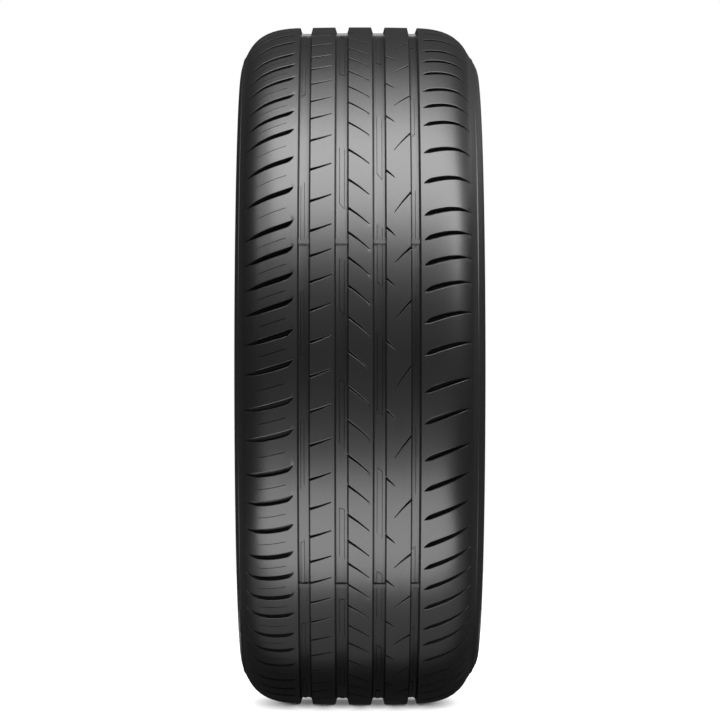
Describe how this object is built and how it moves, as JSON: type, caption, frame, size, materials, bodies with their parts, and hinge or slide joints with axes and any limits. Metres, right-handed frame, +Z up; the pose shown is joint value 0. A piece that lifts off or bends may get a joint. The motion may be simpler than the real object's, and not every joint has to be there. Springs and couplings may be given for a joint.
{
  "type": "car tyre",
  "caption": "Upright passenger-car tyre: asymmetric tread with main grooves and slotted shoulders, rounded sidewalls, rim protectors and open beads.",
  "frame": {"origin": "centre of the wheel: on the axle line, midway between the two beads", "axes": "+Y along the axle, towards the tread's right edge as the picture shows it; +Z up from the ground; +X out of the tread that faces the viewer"},
  "size_m": [0.6596, 0.229, 0.6587],
  "materials": {
    "tyre": "satin black moulded rubber"
  },
  "bodies": {
    "root": {"tyre": "tyre"}
  },
  "joints": []
}
